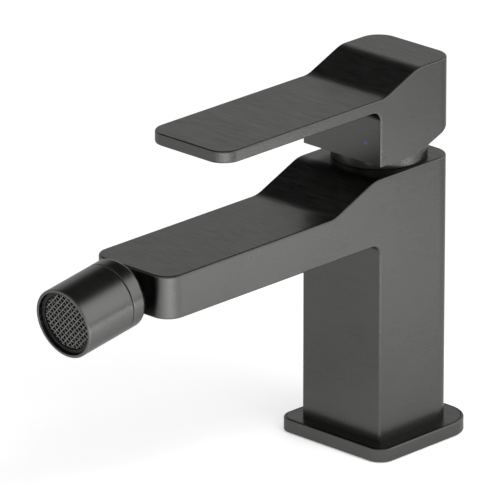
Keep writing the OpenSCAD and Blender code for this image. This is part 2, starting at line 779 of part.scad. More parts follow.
// Thin plastic zone of a sphere between the ball and the nut
module seat_liner() {
    color(white_plastic) outlet_frame() difference() {
        sphere(liner_out_r);
        sphere(liner_in_r);
        cylinder(r = liner_eye_r, h = 4 * ball_r, center = true);
        translate([0, 0, liner_front_z]) cylinder(r = 2 * ball_r, h = 2 * ball_r);
        translate([0, 0, liner_rear_z - 2 * ball_r]) cylinder(r = 2 * ball_r, h = 2 * ball_r);
    }
}

module ball_seal() {
    color(rubber) outlet_frame() translate([0, 0, ball_seal_z]) torus(ball_seal_r, ball_seal_wire_r);
}

// Rear half of the outlet's shell, which holds the ball from behind
module swivel_nut() {
    color(gunmetal) outlet_frame() difference() {
        rotate_extrude() union() {
            translate([0, -outlet_rear]) square([outlet_r - outlet_rear_r, outlet_rear + nut_end_z]);
            translate([outlet_r - outlet_rear_r, outlet_rear_r - outlet_rear]) intersection() {
                circle(outlet_rear_r);
                translate([-over, -outlet_rear_r]) square(outlet_rear_r + over);
            }
            translate([0, outlet_rear_r - outlet_rear])
                square([outlet_r, outlet_rear + nut_end_z - outlet_rear_r]);
        }
        sphere(seat_r);
        translate([0, 0, -outlet_rear - over]) cylinder(r = nut_opening_r, h = 2 * outlet_rear);
        translate([0, 0, sleeve_foot_z - air]) cylinder(r = sleeve_thread_r + air, h = outlet_front);
    }
}

// Front half of the outlet's shell, screwed into the nut
module aerator_sleeve() {
    color(gunmetal) outlet_frame() difference() {
        union() {
            translate([0, 0, sleeve_foot_z]) cylinder(r = sleeve_thread_r, h = outlet_front / 2);
            translate([0, 0, seam_z + seam_gap / 2])
                cylinder(r = outlet_r, h = sleeve_len - seam_gap / 2);
        }
        translate([0, 0, sleeve_foot_z - over])
            cylinder(r = sleeve_bore_r, h = web_bottom - sleeve_foot_z + over);
        cylinder(r = web_hole_r, h = outlet_front);
        translate([0, 0, web_top]) cylinder(r = insert_r, h = outlet_front);
    }
}

module aerator_gasket() {
    color(rubber) outlet_frame()
        ring(insert_r - air, insert_r - gasket_ring_w, web_top + air / 2, web_top + gasket_ring_t);
}

// Plastic cage whose front ring shows round the screen
module aerator_cage() {
    color(dark_plastic) outlet_frame() difference() {
        translate([0, 0, cage_bottom]) cylinder(r = cage_r, h = cage_top - cage_bottom);
        translate([0, 0, diffuser_z]) cylinder(r = cage_bore_r, h = outlet_front);
        translate([0, 0, cage_bottom - over]) cylinder(r = cage_bore_r - cage_ledge_w, h = outlet_front);
        translate([0, 0, screen_z]) cylinder(r = screen_seat_r, h = outlet_front);
    }
}

// Plate with a ring of jets that breaks up the flow
module aerator_diffuser() {
    jets = 10;
    color(dark_plastic) outlet_frame() difference() {
        translate([0, 0, diffuser_z + air / 2]) cylinder(r = diffuser_r, h = diffuser_t);
        for (i = [0:jets - 1]) rotate([0, 0, 360 * i / jets])
            translate([jet_circle_r, 0, diffuser_z - over]) cylinder(r = jet_r, h = diffuser_t + 2 * over);
    }
}

// Round net of crossed wires: the gaps whose middle lies well inside the edge are cut out
module net(edge_r, pitch, wire, low) {
    gap = pitch - wire;
    count = ceil(edge_r / pitch);
    rim = edge_r - net_rim_w;
    reach = rim + 0.35 * pitch;
    translate([0, 0, low]) linear_extrude(wire) rotate(45) difference() {
        circle(edge_r);
        intersection() {
            circle(rim);
            for (i = [-count:count - 1], j = [-count:count - 1])
                if (norm([i + 0.5, j + 0.5]) * pitch < reach)
                    translate([i * pitch + wire / 2, j * pitch + wire / 2]) square(gap);
        }
    }
}

module inner_screen() {
    color(steel) outlet_frame() net(cage_bore_r - air, inner_screen_pitch, screen_wire, inner_screen_z);
}

module aerator_screen() {
    color(steel) outlet_frame() net(screen_seat_r - air, screen_pitch, screen_wire, screen_z + air / 2);
}

base_gasket();
base_plate();
spout_body();
inlet_seals();
cartridge_base();
fixed_disc();
moving_disc();
disc_carrier();
stem_carrier();
pivot_pin();
stem();
cartridge_housing();
housing_o_ring();
limit_ring();
cartridge_nut();
neck_collar();
lever();
lever_set_screw();
screw_plug();
cold_dot();
hot_dot();
ball_stud();
stud_seal();
seat_liner();
ball_seal();
swivel_nut();
aerator_sleeve();
aerator_gasket();
aerator_cage();
aerator_diffuser();
inner_screen();
aerator_screen();
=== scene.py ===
import json

import bpy
import numpy as np
from mathutils import Matrix, Vector


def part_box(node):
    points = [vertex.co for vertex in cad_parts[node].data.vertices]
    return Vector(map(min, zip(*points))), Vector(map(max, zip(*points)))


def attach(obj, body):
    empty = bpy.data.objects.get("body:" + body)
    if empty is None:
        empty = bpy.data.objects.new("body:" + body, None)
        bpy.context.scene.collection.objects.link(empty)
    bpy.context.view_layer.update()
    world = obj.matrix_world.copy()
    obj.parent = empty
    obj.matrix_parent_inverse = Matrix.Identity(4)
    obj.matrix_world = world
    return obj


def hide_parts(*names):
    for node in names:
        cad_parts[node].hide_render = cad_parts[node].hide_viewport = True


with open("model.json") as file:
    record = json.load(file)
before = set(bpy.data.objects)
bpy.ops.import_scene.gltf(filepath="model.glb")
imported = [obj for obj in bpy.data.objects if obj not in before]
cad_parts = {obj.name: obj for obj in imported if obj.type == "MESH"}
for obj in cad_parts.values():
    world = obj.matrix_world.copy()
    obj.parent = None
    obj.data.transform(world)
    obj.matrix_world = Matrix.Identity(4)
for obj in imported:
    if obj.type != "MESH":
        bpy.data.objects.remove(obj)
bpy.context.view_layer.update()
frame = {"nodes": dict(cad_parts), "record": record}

# Base plate and gasket. The plate is a brass forging with a brushed, dark gunmetal finish, clamped
# between the column and the deck. A rubber gasket lies in a recess under it and shows as a thin dark
# line at the deck.


def fill(node, inputs):
    """Gives a node's sockets, by number or name, their links or values."""
    for key, value in inputs.items():
        if isinstance(value, Wire):
            value.tree.links.new(value.socket, node.inputs[key])
        else:
            node.inputs[key].default_value = value


class Wire:
    """A socket in a material. + - * and abs on it make Math nodes, or Vector Math nodes where one
    side is a vector or a colour. A wire without a socket is where a tree starts."""

    def __init__(self, tree, socket=None):
        self.tree, self.socket = tree, socket

    def node(self, kind, settings=None, inputs=None, out=0):
        """Makes any other node with its settings and its inputs, and gives one output by its number
        or its name."""
        made = self.tree.nodes.new(kind)
        for name, value in (settings or {}).items():
            setattr(made, name, value)
        fill(made, inputs or {})
        return Wire(self.tree, made.outputs[out])

    def math(self, operation, a, b=0.0):
        """Math or Vector Math of a and b, by what they are."""
        wide = any(
            isinstance(v, tuple) or (isinstance(v, Wire) and v.socket.type in ("VECTOR", "RGBA"))
            for v in (a, b)
        )
        if not wide:
            return self.node("ShaderNodeMath", {"operation": operation}, {0: a, 1: b})
        a, b = ((v,) * 3 if isinstance(v, float) else v for v in (a, b))
        return self.node("ShaderNodeVectorMath", {"operation": operation}, {0: a, 1: b})

    def __add__(self, other):
        return self.math("ADD", self, other)

    def __radd__(self, other):
        return self.math("ADD", other, self)

    def __sub__(self, other):
        return self.math("SUBTRACT", self, other)

    def __rsub__(self, other):
        return self.math("SUBTRACT", other, self)

    def __mul__(self, other):
        return self.math("MULTIPLY", self, other)

    def __rmul__(self, other):
        return self.math("MULTIPLY", other, self)

    def __abs__(self):
        return self.math("ABSOLUTE", self)

    def part(self, axis):
        """The X, Y or Z of a vector, by number."""
        return self.node("ShaderNodeSeparateXYZ", inputs={0: self}, out=axis)

    def smooth(self, low, high):
        """0 below low, 1 above high, with a smooth step between."""
        return self.node(
            "ShaderNodeMapRange", {"interpolation_type": "SMOOTHSTEP"}, {0: self, 1: low, 2: high}
        )

    def mix(self, a, b):
        """The colour a where this is 0 and b where it is 1."""
        return self.node("ShaderNodeMix", {"data_type": "RGBA"}, {0: self, 6: a, 7: b}, out=2)

    def noise(self, scale, detail=2.0, roughness=0.5):
        """Noise at this place, between 0 and 1."""
        return self.node("ShaderNodeTexNoise", inputs={
            "Vector": self, "Scale": scale, "Detail": detail, "Roughness": roughness
        })


def material(name, paint):
    """New material: paint(place, normal) gets the Object coordinates in mm and the Object-space
    normal, and gives the values of the surface by input name."""
    made = bpy.data.materials.new(name)
    made.use_nodes = True
    tree = made.node_tree
    place, normal = (Wire(tree).node("ShaderNodeTexCoord", out=key) for key in ("Object", "Normal"))
    fill(tree.nodes["Principled BSDF"], paint(place * (1000.0, 1000.0, 1000.0), normal))
    return made


def grey(value):
    """A colour with the same red, green and blue."""
    return (value, value, value, 1.0)


def brushed(name, tone, turned=None):
    """Dark metal with fine brushing. The lines run along X on faces that look up, down or ahead and
    along Y on faces that look sideways, or round an axis that is turned about X on a turned piece.
    They are noise with few cells per mm along the lines and many across, strongest on flat tops."""
    along_x, along_y, round_y = (0.1, 0.75, 0.75), (1.8, 0.12, 1.8), (0.1, 2.4, 0.1)
    side_depth, top_depth, round_depth, cloud_depth = 0.14, 1.33, 0.1225, 0.15
    line_noise, cloud_grain = (1.0, 2.0, 0.6), 0.04
    side_turn, top_turn = (0.6, 0.8), (0.6, 0.9)
    dark_tint, light_tint = (0.5, 0.51, 0.46), (1.5, 1.51, 1.48)
    rough, line_rough, cloud_rough = 0.22, 0.1, 0.04

    def paint(place, normal):
        if turned is None:
            level_lines = (place * along_x).noise(*line_noise)
            side_lines = (place * along_y).noise(*line_noise)
            lines = level_lines + (side_lines - level_lines) * abs(normal.part(0)).smooth(*side_turn)
            depth = side_depth + (top_depth - side_depth) * abs(normal.part(2)).smooth(*top_turn)
        else:
            upright = place.node(
                "ShaderNodeVectorRotate", {"rotation_type": "X_AXIS"}, {"Vector": place, "Angle": turned}
            )
            lines = (upright * round_y).noise(*line_noise)
            depth = round_depth
        cloud = place.noise(cloud_grain)
        shade = 0.5 + (lines - 0.5) * depth + (cloud - 0.5) * cloud_depth
        dark, light = (tuple(tone * c for c in tint) + (1.0,) for tint in (dark_tint, light_tint))
        return {
            "Base Color": shade.mix(dark, light),
            "Metallic": 1.0,
            "Specular Tint": grey(0.66),
            "Roughness": rough + lines * line_rough + cloud * cloud_rough,
            "Normal": lines.node("ShaderNodeBump", inputs={
                "Strength": 0.07, "Distance": 0.0001, "Height": lines
            }),
        }

    return material(name, paint)


def plain(name, colour, rough, metal=0.0, grain=0.6, coat=0.0, shine=0.5):
    """One colour with a little unevenness in tone and gloss, in grain cells per mm. A shine under 0.5
    dulls the highlights of a plastic."""
    darker, lighter, uneven = 0.9, 1.08, 0.1

    def paint(place, normal):
        cells = place.noise(grain, detail=3.0)
        dark, light = (tuple(share * c for c in colour) + (1.0,) for share in (darker, lighter))
        return {
            "Base Color": cells.mix(dark, light),
            "Metallic": metal,
            "Roughness": rough - uneven / 2 + cells * uneven,
            "Coat Weight": coat,
            "Specular IOR Level": shine,
        }

    return material(name, paint)


def path(*corners, steps=12):
    """Points and normals along a line through corners (u, v, radius). An arc touches both sides of
    each corner, and its points are centre + radius * n as n turns from one side's normal to the
    next. A corner of radius 0 gives its point twice, with both normals. The normal is on the right:
    n = (dv, -du)."""
    c = np.array(corners, float)
    d = np.diff(c[:, :2], axis=0)
    d /= np.linalg.norm(d, axis=1, keepdims=True)
    n = np.stack([d[:, 1], -d[:, 0]], 1)
    points, normals = [c[:1, :2]], [n[:1]]
    for i in range(1, len(c) - 1):
        turn = np.arctan2(d[i - 1, 0] * d[i, 1] - d[i - 1, 1] * d[i, 0], d[i - 1] @ d[i])
        radius = c[i, 2]
        angle = np.linspace(0, turn, steps + 1 if radius else 2)[:, None]
        side = np.cos(angle) * n[i - 1] + np.sin(angle) * np.array([-n[i - 1, 1], n[i - 1, 0]])
        start = c[i, :2] - d[i - 1] * radius * np.tan(abs(turn) / 2)
        centre = start - np.sign(turn) * radius * n[i - 1]
        points.append(centre + np.sign(turn) * radius * side)
        normals.append(side)
    points.append(c[-1:, :2])
    normals.append(n[-1:])
    return np.concatenate(points), np.concatenate(normals)


def build(name, patches, body, replaced, look):
    """One mesh from grids of points and normals (rows x columns x 3, in mm). Points in one cell of
    0.002 mm are welded, each face turns to the side of its normals, and each corner keeps its grid's
    normal. The cells are shifted, so that round sizes don't lie on a cell's edge."""
    cells_per_mm, cell_shift = 500, 0.237
    points, normals, quads, count = [], [], [], 0
    for p, n in patches:
        p, n = np.broadcast_arrays(p, n)
        rows, columns = p.shape[:2]
        i = np.arange(rows * columns).reshape(rows, columns)
        q = np.stack([i[:-1, :-1], i[:-1, 1:], i[1:, 1:], i[1:, :-1]], -1).reshape(-1, 4)
        p, n = p.reshape(-1, 3), n.reshape(-1, 3)
        facing = np.cross(p[q[:, 2]] - p[q[:, 0]], p[q[:, 3]] - p[q[:, 1]])
        inward = (facing * n[q].sum(1)).sum(1) < 0
        q[inward] = q[inward][:, ::-1]
        points.append(p)
        normals.append(n)
        quads.append(q + count)
        count += len(p)
    points, normals, quads = map(np.concatenate, (points, normals, quads))
    cell = np.floor(points * cells_per_mm + cell_shift).astype(np.int64)
    _, first, weld = np.unique(cell, axis=0, return_index=True, return_inverse=True)
    corners = weld.reshape(-1)[quads]
    kept = corners != np.roll(corners, 1, axis=1)
    kept &= (kept.sum(1) > 2)[:, None]
    totals = kept.sum(1)
    totals = totals[totals > 0]
    mesh = bpy.data.meshes.new(name)
    mesh.vertices.add(len(first))
    mesh.vertices.foreach_set("co", (points[first] / 1000).astype(np.float32).ravel())
    mesh.loops.add(int(totals.sum()))
    mesh.loops.foreach_set("vertex_index", corners[kept].astype(np.int32))
    mesh.polygons.add(len(totals))
    mesh.polygons.foreach_set("loop_start", (np.cumsum(totals) - totals).astype(np.int32))
    mesh.update(calc_edges=True)
    mesh.polygons.foreach_set("use_smooth", np.ones(len(totals), bool))
    mesh.normals_split_custom_set(normals[quads][kept])
    mesh.materials.append(look)
    made = bpy.data.objects.new(name, mesh)
    bpy.context.scene.collection.objects.link(made)
    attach(made, body)
    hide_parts(*replaced)


def outline(w, front, rear, front_r, rear_r, side_y=(), corner=20):
    """Right half of a rectangle with round corners, from the front to the rear: points (x, y), and
    normals. On a corner the point is centre + radius * n."""
    f = np.radians(np.linspace(-90, 0, corner + 1))
    r = np.radians(np.linspace(0, 90, corner + 1))
    y = np.array(side_y, float)
    points = np.concatenate([
        np.stack([w - front_r + front_r * np.cos(f), front + front_r + front_r * np.sin(f)], 1),
        np.stack([np.full(len(y), w), y], 1),
        np.stack([w - rear_r + rear_r * np.cos(r), rear - rear_r + rear_r * np.sin(r)], 1),
    ])
    normals = np.concatenate([
        np.stack([np.cos(f), np.sin(f)], 1),
        np.tile([1.0, 0.0], (len(y), 1)),
        np.stack([np.cos(r), np.sin(r)], 1),
    ])
    return points, normals


def carried(section, ring):
    """A section carried round a closed outline: P(s, k) = ring(s) - d(k) * n(s) at height z(k)."""
    (d, z), (nd, nz) = section[0].T, section[1].T
    xy, n = ring
    p = np.concatenate([
        xy[:, None] - d[None, :, None] * n[:, None],
        np.broadcast_to(z[None, :, None], (len(xy), len(z), 1)),
    ], 2)
    turned = np.concatenate([
        -nd[None, :, None] * n[:, None],
        np.broadcast_to(nz[None, :, None], (len(xy), len(z), 1)),
    ], 2)
    return p, turned


def sink(loop, centre, axis, section):
    """Flat face from a closed loop in to a round hole, then the hole. Ring k is
    centre + r(k) * e + h(k) * axis, where e is the direction from the centre to the loop's point."""
    centre, axis = np.array(centre, float), np.array(axis, float)
    loop = np.concatenate([loop, loop[:1]])
    e = loop - centre
    e -= (e @ axis)[:, None] * axis
    e /= np.linalg.norm(e, axis=1, keepdims=True)
    (r, h), (nr, nh) = section[0].T, section[1].T
    rings = centre + r[:, None, None] * e + h[:, None, None] * axis
    sides = nr[:, None, None] * e + nh[:, None, None] * axis
    face = np.stack([loop, rings[0]])
    return [(face, np.broadcast_to(axis, face.shape)), (rings, sides)]


def closed(half):
    """A closed outline from its right half: up the right side and down the left."""
    (p, n), flip = half, np.array([-1.0, 1.0])
    return np.concatenate([p, p[::-1] * flip, p[:1]]), np.concatenate([n, n[::-1] * flip, n[:1]])


def level(ring, z):
    """The points of an outline at one height, without the last one, which repeats the first."""
    return np.concatenate([ring[0][:-1], np.full((len(ring[0]) - 1, 1), z)], 1)


def box_mm(node):
    """Lowest and highest corner of a CAD node, in mm."""
    return [1000 * np.array(corner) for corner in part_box(node)]


def finish(node, look):
    """Gives a piece that keeps its CAD mesh a new material."""
    frame["nodes"][node].data.materials.clear()
    frame["nodes"][node].data.materials.append(look)


UP, DOWN = (0, 0, 1), (0, 0, -1)
gunmetal = brushed("brushed_gunmetal", 0.08)
plate_low, plate_high = box_mm("base_plate")
plate_foot, plate_top = plate_low[2], plate_high[2]
plate_front_r, plate_rear_r = 6.2, 13.3
plate_bore_r, inner_rim_r = 15.1, 16.9
rim_wall, recess_depth = 1.9, 1.8
plate_edge_r, plate_foot_r, edge_band = 0.7, 0.15, 1.2
recess_top = plate_foot + recess_depth
plate_ring = closed(outline(plate_high[0], plate_low[1], plate_high[1], plate_front_r, plate_rear_r))
rim_ring = (plate_ring[0] - rim_wall * plate_ring[1], plate_ring[1])
top_ring = (plate_ring[0] - edge_band * plate_ring[1], plate_ring[1])
build(
    "base_plate_look",
    [
        carried(
            path((rim_wall, recess_top, 0), (rim_wall, plate_foot, 0), (0, plate_foot, plate_foot_r),
                 (0, plate_top, plate_edge_r), (edge_band, plate_top, 0), steps=8),
            plate_ring,
        ),
        *sink(level(top_ring, plate_top), (0, 0, plate_top), UP,
              path((plate_bore_r, 0, 0), (plate_bore_r, plate_foot - plate_top, 0))),
        *sink(level(rim_ring, recess_top), (0, 0, recess_top), DOWN,
              path((inner_rim_r, 0, 0), (inner_rim_r, recess_depth, 0), (plate_bore_r, recess_depth, 0))),
    ],
    "root", ["base_plate"], gunmetal,
)
rubber = plain("black_rubber", (0.018, 0.018, 0.018), 0.75)
finish("base_gasket", rubber)

# Column and spout. One hollow brass casting, ground flat, brushed and finished in dark gunmetal. Its
# column stands on the base plate, and its spigot reaches through the plate and holds the inlets.

AHEAD, BACK = (0, -1, 0), (0, 1, 0)


def mirrored(patch):
    """The same grid on the other side of the plane x = 0."""
    flip = np.array([-1.0, 1.0, 1.0])
    return patch[0] * flip, patch[1] * flip


def slope(steps, *corners):
    """Side view of a surface as y, z and the normal's y and z, in rising order of y."""
    p, n = path(*corners, steps=steps)
    table = np.concatenate([p, n], 1)
    return table[np.argsort(table[:, 0], kind="stable")]


def along(table, y):
    """Height and normal (0, ny, nz) of a side view at each y."""
    z, ny, nz = (np.interp(y, table[:, 0], table[:, k]) for k in (1, 2, 3))
    n = np.stack([np.zeros(len(y)), ny, nz], 1)
    return z, n / np.linalg.norm(n, axis=1, keepdims=True)


def rounded(edge, a, b, radius, steps=5):
    """Round edge between faces with normals a and b. With centre C = edge - r (a + b) / (1 + a.b),
    the points are C + r n, and n turns from a to b."""
    radius = np.reshape(radius, (-1, 1))
    dot = (a * b).sum(1, keepdims=True)
    centre = edge - radius * (a + b) / (1 + dot)
    angle = np.arccos(np.clip(dot, -1, 1))
    t = np.linspace(0, 1, steps + 1)[:, None, None]
    near = angle < 0.0001
    s = np.where(near, 1, np.sin(angle))
    n = np.where(near, a + t * (b - a), (np.sin((1 - t) * angle) * a + np.sin(t * angle) * b) / s)
    n /= np.linalg.norm(n, axis=2, keepdims=True)
    return centre + radius * n, n


def span(side, columns):
    """Sheet from each point of the right side straight across to its mirror point."""
    x = np.linspace(-1, 1, columns + 1)[None, :, None]
    return np.concatenate([
        x * side[:, None, :1], np.broadcast_to(side[:, None, 1:], (len(side), columns + 1, 2))
    ], 2)


def rim(grid):
    """The points round the border of a grid, once each."""
    return np.concatenate([grid[0, :-1], grid[:-1, -1], grid[-1, :0:-1], grid[:0:-1, 0]])


def drilled(ring, axis, fork, holes):
    """Flat end inside a ring, with round holes. Straight lines from the point fork to points of the
    ring cut the end into one cell for each hole, and each cell's loop sinks to its hole. holes has a
    bearing in degrees for the line before each hole, and the hole's centre and section."""
    bearing = np.degrees(np.arctan2(ring[:, 1], ring[:, 0]))
    order = np.argsort(bearing)
    ring, bearing = ring[order], bearing[order]
    height = ring[0, 2]
    fork = np.append(fork, height)
    starts = [int(np.argmin(abs(bearing - hole[0]))) for hole in holes]
    line_steps = 5
    share = np.linspace(0, 1, line_steps + 1)[:-1, None]
    grids = []
    for i, (_, centre, section) in enumerate(holes):
        first, last = starts[i], starts[(i + 1) % len(starts)]
        arc = ring[np.arange(first, last + 1 + (len(ring) if last < first else 0)) % len(ring)]
        out = fork + share * (arc[0] - fork)
        home = arc[-1] + share * (fork - arc[-1])
        grids += sink(np.concatenate([out, arc, home[1:]]), np.append(centre, height), axis, section)
    return grids


def block_and_arm(w, front, rear, front_r, rear_r, block, under, under_r, foot, top, bottom,
                  edge, block_edge, holes):
    """Surface of an upright block with a flat arm ahead of it, as grids. Its walls follow the
    outline seen from above, its top and bottom follow two side views, and a concave round joins
    the arm's underside to the block's front. w is half the width, and front, rear and block are the
    y of the arm's end, of the rear face and of the block's front. edge and block_edge are the radii
    of the long edges and of the block's front edges. holes has each face's centre, axis and section
    for sink, after the y where the flat part starts for the top, and before drilled's fork and holes
    for the bottom."""
    arm_step, block_step, first_step, gap = 1.5, 1.0, 1.0, 0.05
    corner_steps, bend_steps, drop_steps, wall_rows, columns = 20, 16, 8, 3, 16
    start = block - under_r
    flat_start, flat_end = front + front_r, rear - rear_r
    side_y = np.unique(np.concatenate([
        np.arange(flat_start + first_step, flat_end, arm_step), np.arange(start, flat_end, block_step),
        top[:, 0],
    ]))
    side_y = side_y[(side_y > flat_start + gap) & (side_y < flat_end - gap)]
    xy, n2 = outline(w, front, rear, front_r, rear_r, side_y, corner_steps)
    count = len(xy)
    first = int(np.argmin(abs(xy[:, 1] - start)))
    last_side = count - 1 - corner_steps
    a = np.concatenate([n2, np.zeros((count, 1))], 1)
    top_z, top_n = along(top, xy[:, 1])
    grids = []

    # Top: round edge, then the sheet
    strip = rounded(np.concatenate([xy, top_z[:, None]], 1), a, top_n, edge)
    grids += [strip, mirrored(strip)]
    top_wall = strip[0][0]
    sheet = span(strip[0][-1], columns)
    sheet_n = np.broadcast_to(top_n[:, None], sheet.shape)
    if "top" in holes:
        cut = int(np.searchsorted(xy[:, 1], holes["top"][0]))
        grids.append((sheet[: cut + 1], sheet_n[: cut + 1]))
        grids += sink(rim(sheet[cut:]), *holes["top"][1:])
    else:
        grids.append((sheet, sheet_n))
    x_front = np.linspace(-xy[0, 0], xy[0, 0], columns + 1)
    x_rear = np.linspace(-xy[-1, 0], xy[-1, 0], columns + 1)

    def line(x, y, z):
        """A point at each x, all at one y and one z."""
        return np.stack([x, np.full(len(x), y), np.full(len(x), z)], 1)

    def facing(direction, size):
        """The same normal for each of size points."""
        return np.tile(np.array(direction, float), (size, 1))

    front_top = rounded(line(x_front, front, top_z[0]), facing(AHEAD, columns + 1),
                        facing(UP, columns + 1), edge)
    rear_top = rounded(line(x_rear, rear, top_z[-1]), facing(BACK, columns + 1),
                       facing(UP, columns + 1), edge)
    grids += [front_top, rear_top]

    # Underside, concave round and the block's front as one band
    arm = slice(0, first + 1)
    strip = rounded(np.concatenate([xy[arm], np.full((first + 1, 1), under)], 1), a[arm],
                    facing(DOWN, first + 1), edge)
    grids += [strip, mirrored(strip)]
    low_wall = strip[0][0]
    turn = np.radians(np.linspace(0, 90, bend_steps + 1))[:, None]
    bend_n = np.concatenate([0 * turn, -np.sin(turn), -np.cos(turn)], 1)
    bend = np.array([w, start, under - under_r]) - under_r * bend_n
    bend[:, 0] = w
    drop = np.linspace(under - under_r, foot, drop_steps + 1)[1:, None]
    band = np.concatenate([bend, np.concatenate([0 * drop + w, 0 * drop + block, drop], 1)])
    band_n = np.concatenate([bend_n, facing(AHEAD, drop_steps)])
    radius = np.concatenate([
        np.linspace(edge, block_edge, bend_steps + 1), np.full(drop_steps, block_edge)
    ])
    band_strip = rounded(band, facing((1, 0, 0), len(band)), band_n, radius)
    grids += [band_strip, mirrored(band_strip)]
    under_side = np.concatenate([strip[0][-1], band_strip[0][-1][1:]])
    under_n = np.concatenate([facing(DOWN, first + 1), band_n[1:]])
    sheet = span(under_side, columns)
    grids.append((sheet, np.broadcast_to(under_n[:, None], sheet.shape)))
    front_low = rounded(line(x_front, front, under), facing(AHEAD, columns + 1),
                        facing(DOWN, columns + 1), edge)
    grids.append(front_low)

    # Upper walls
    height = np.linspace(0, 1, wall_rows + 1)[:, None, None]
    base = np.concatenate([low_wall, np.concatenate([
        xy[first + 1:], np.full((count - first - 1, 1), under + edge)], 1)])
    wall = base + height * (top_wall - base)
    wall = (wall, np.broadcast_to(a, wall.shape))
    grids += [wall, mirrored(wall)]
    nose = front_low[0][0] + height * (front_top[0][0] - front_low[0][0])
    if "front" in holes:
        grids += sink(rim(nose), *holes["front"])
    else:
        grids.append((nose, np.broadcast_to(np.array(AHEAD, float), nose.shape)))

    # Lower walls: each row starts at the band's edge and runs round to the rear
    edge_line = band_strip[0][0]
    t = ((edge_line[0, 2] - edge_line[:, 2]) / (edge_line[0, 2] - edge_line[-1, 2]))[:, None]
    side_end = xy[last_side, 1]
    share = np.clip((xy[first:, 1] - xy[first, 1]) / (side_end - xy[first, 1]), 0, 1)
    y = np.where(xy[first:, 1] > side_end, xy[first:, 1],
                 edge_line[:, 1:2] + share * (side_end - edge_line[:, 1:2]))
    bottom_z, bottom_n = along(bottom, y[-1])
    z = edge_line[0, 2] + t * (bottom_z - edge_line[0, 2])
    lower = np.stack([np.broadcast_to(xy[first:, 0], y.shape), y, z], 2)
    lower_wall = (lower, np.broadcast_to(a[first:], lower.shape))
    grids += [lower_wall, mirrored(lower_wall)]
    rear_side = np.concatenate([wall[0][::-1, -1], lower[1:, -1]])
    back = span(rear_side, columns)
    if "rear" in holes:
        grids += sink(rim(back), *holes["rear"])
    else:
        grids.append((back, np.broadcast_to(np.array(BACK, float), back.shape)))

    # Bottom
    side = np.concatenate([band_strip[0][::-1, -1], lower[-1, 1:]])
    side_n = np.concatenate([facing(DOWN, len(band_strip[0])), bottom_n[1:]])
    sheet = span(side, columns)
    if "bottom" in holes:
        grids += sink(rim(sheet), *holes["bottom"][:3])
        grids += drilled(grids[-1][0][-1, :-1], DOWN, *holes["bottom"][3:])
    else:
        grids.append((sheet, np.broadcast_to(side_n[:, None], sheet.shape)))
    return grids


def round_hole(radius, depth):
    """Side view of a round hole with a flat floor, for sink."""
    return path((radius, 0, 0), (radius, -depth, 0), (0, -depth, 0))


body_low, body_high = box_mm("spout_body")
body_rear, body_top = body_high[1], 110.7
spout_under, spout_top = 84.6, 101.4
slope_top, slope_foot, slope_bend_r = 23.5, 45.8, 14
spout_corner_r, rear_corner_r, under_spout_r, body_edge_r = 7.7, 8.6, 4.4, 0.8
neck_r, neck_bore_r, neck_rise, shoulder_depth = 15.9, 14.3, 2.7, 6.7
chamber_r, chamber_depth, neck_face_start = 12.6, 34.7, -19.2
ball_z, stud_seat_r, stud_seat_depth = 92.3, 6.3, 2.9
spigot_r, inlet_x, inlet_y, inlet_r, inlet_depth = 15, 6.5, -3.5, 4.5, 12
stud_hole_y, stud_hole_r, stud_hole_depth = 8.5, 3.4, 22
cell_lines, cell_fork = (-90, 20, 160), (0, 2)
inlet, stud_hole = round_hole(inlet_r, inlet_depth), round_hole(stud_hole_r, stud_hole_depth)
hole_places = (inlet_x, inlet_y), (0, stud_hole_y), (-inlet_x, inlet_y)
over, slope_steps = 1, 16
build(
    "spout_body_look",
    block_and_arm(
        w=body_high[0], front=body_low[1], rear=body_rear,
        front_r=spout_corner_r, rear_r=rear_corner_r,
        block=-body_rear, under=spout_under, under_r=under_spout_r, foot=plate_top,
        top=slope(slope_steps, (body_rear, body_top, 0), (-slope_top, body_top, slope_bend_r),
                  (-slope_foot, spout_top, slope_bend_r), (body_low[1], spout_top, 0)),
        bottom=slope(1, (-body_rear - over, plate_top, 0), (body_rear, plate_top, 0)),
        edge=body_edge_r, block_edge=body_edge_r,
        holes={
            "top": (neck_face_start, (0, 0, body_top), UP,
                    path((neck_r, 0, 0), (neck_r, neck_rise, 0), (neck_bore_r, neck_rise, 0),
                         (neck_bore_r, -shoulder_depth, 0), (chamber_r, -shoulder_depth, 0),
                         (chamber_r, -chamber_depth, 0), (0, -chamber_depth, 0))),
            "front": ((0, body_low[1], ball_z), AHEAD, round_hole(stud_seat_r, stud_seat_depth)),
            "bottom": ((0, 0, plate_top), DOWN,
                       path((spigot_r, 0, 0), (spigot_r, plate_top - body_low[2], 0)), cell_fork,
                       list(zip(cell_lines, hole_places, (inlet, stud_hole, inlet)))),
        },
    ),
    "root", ["spout_body"], gunmetal,
)

# Collar. A turned brass ring that fits over the body's neck, covers the cartridge's nut, and lets
# only the stem through.


def seated(grid, seat):
    """A grid made round the Z axis, set into a seat, which has a turn and an origin."""
    turn, origin = seat
    return grid[0] @ turn.T + origin, grid[1] @ turn.T


def lathe(section, turns, seat=None):
    """Turned surface: P(angle, k) = (u(k) cos angle, u(k) sin angle, v(k)), then set into its seat."""
    angle = np.linspace(0, 2 * np.pi, turns + 1)[:, None]
    (u, v), (nu, nv) = section[0].T, section[1].T
    p = np.stack([u * np.cos(angle), u * np.sin(angle), v + 0 * angle], 2)
    n = np.stack([nu * np.cos(angle), nu * np.sin(angle), nv + 0 * angle], 2)
    return seated((p, n), seat) if seat else (p, n)


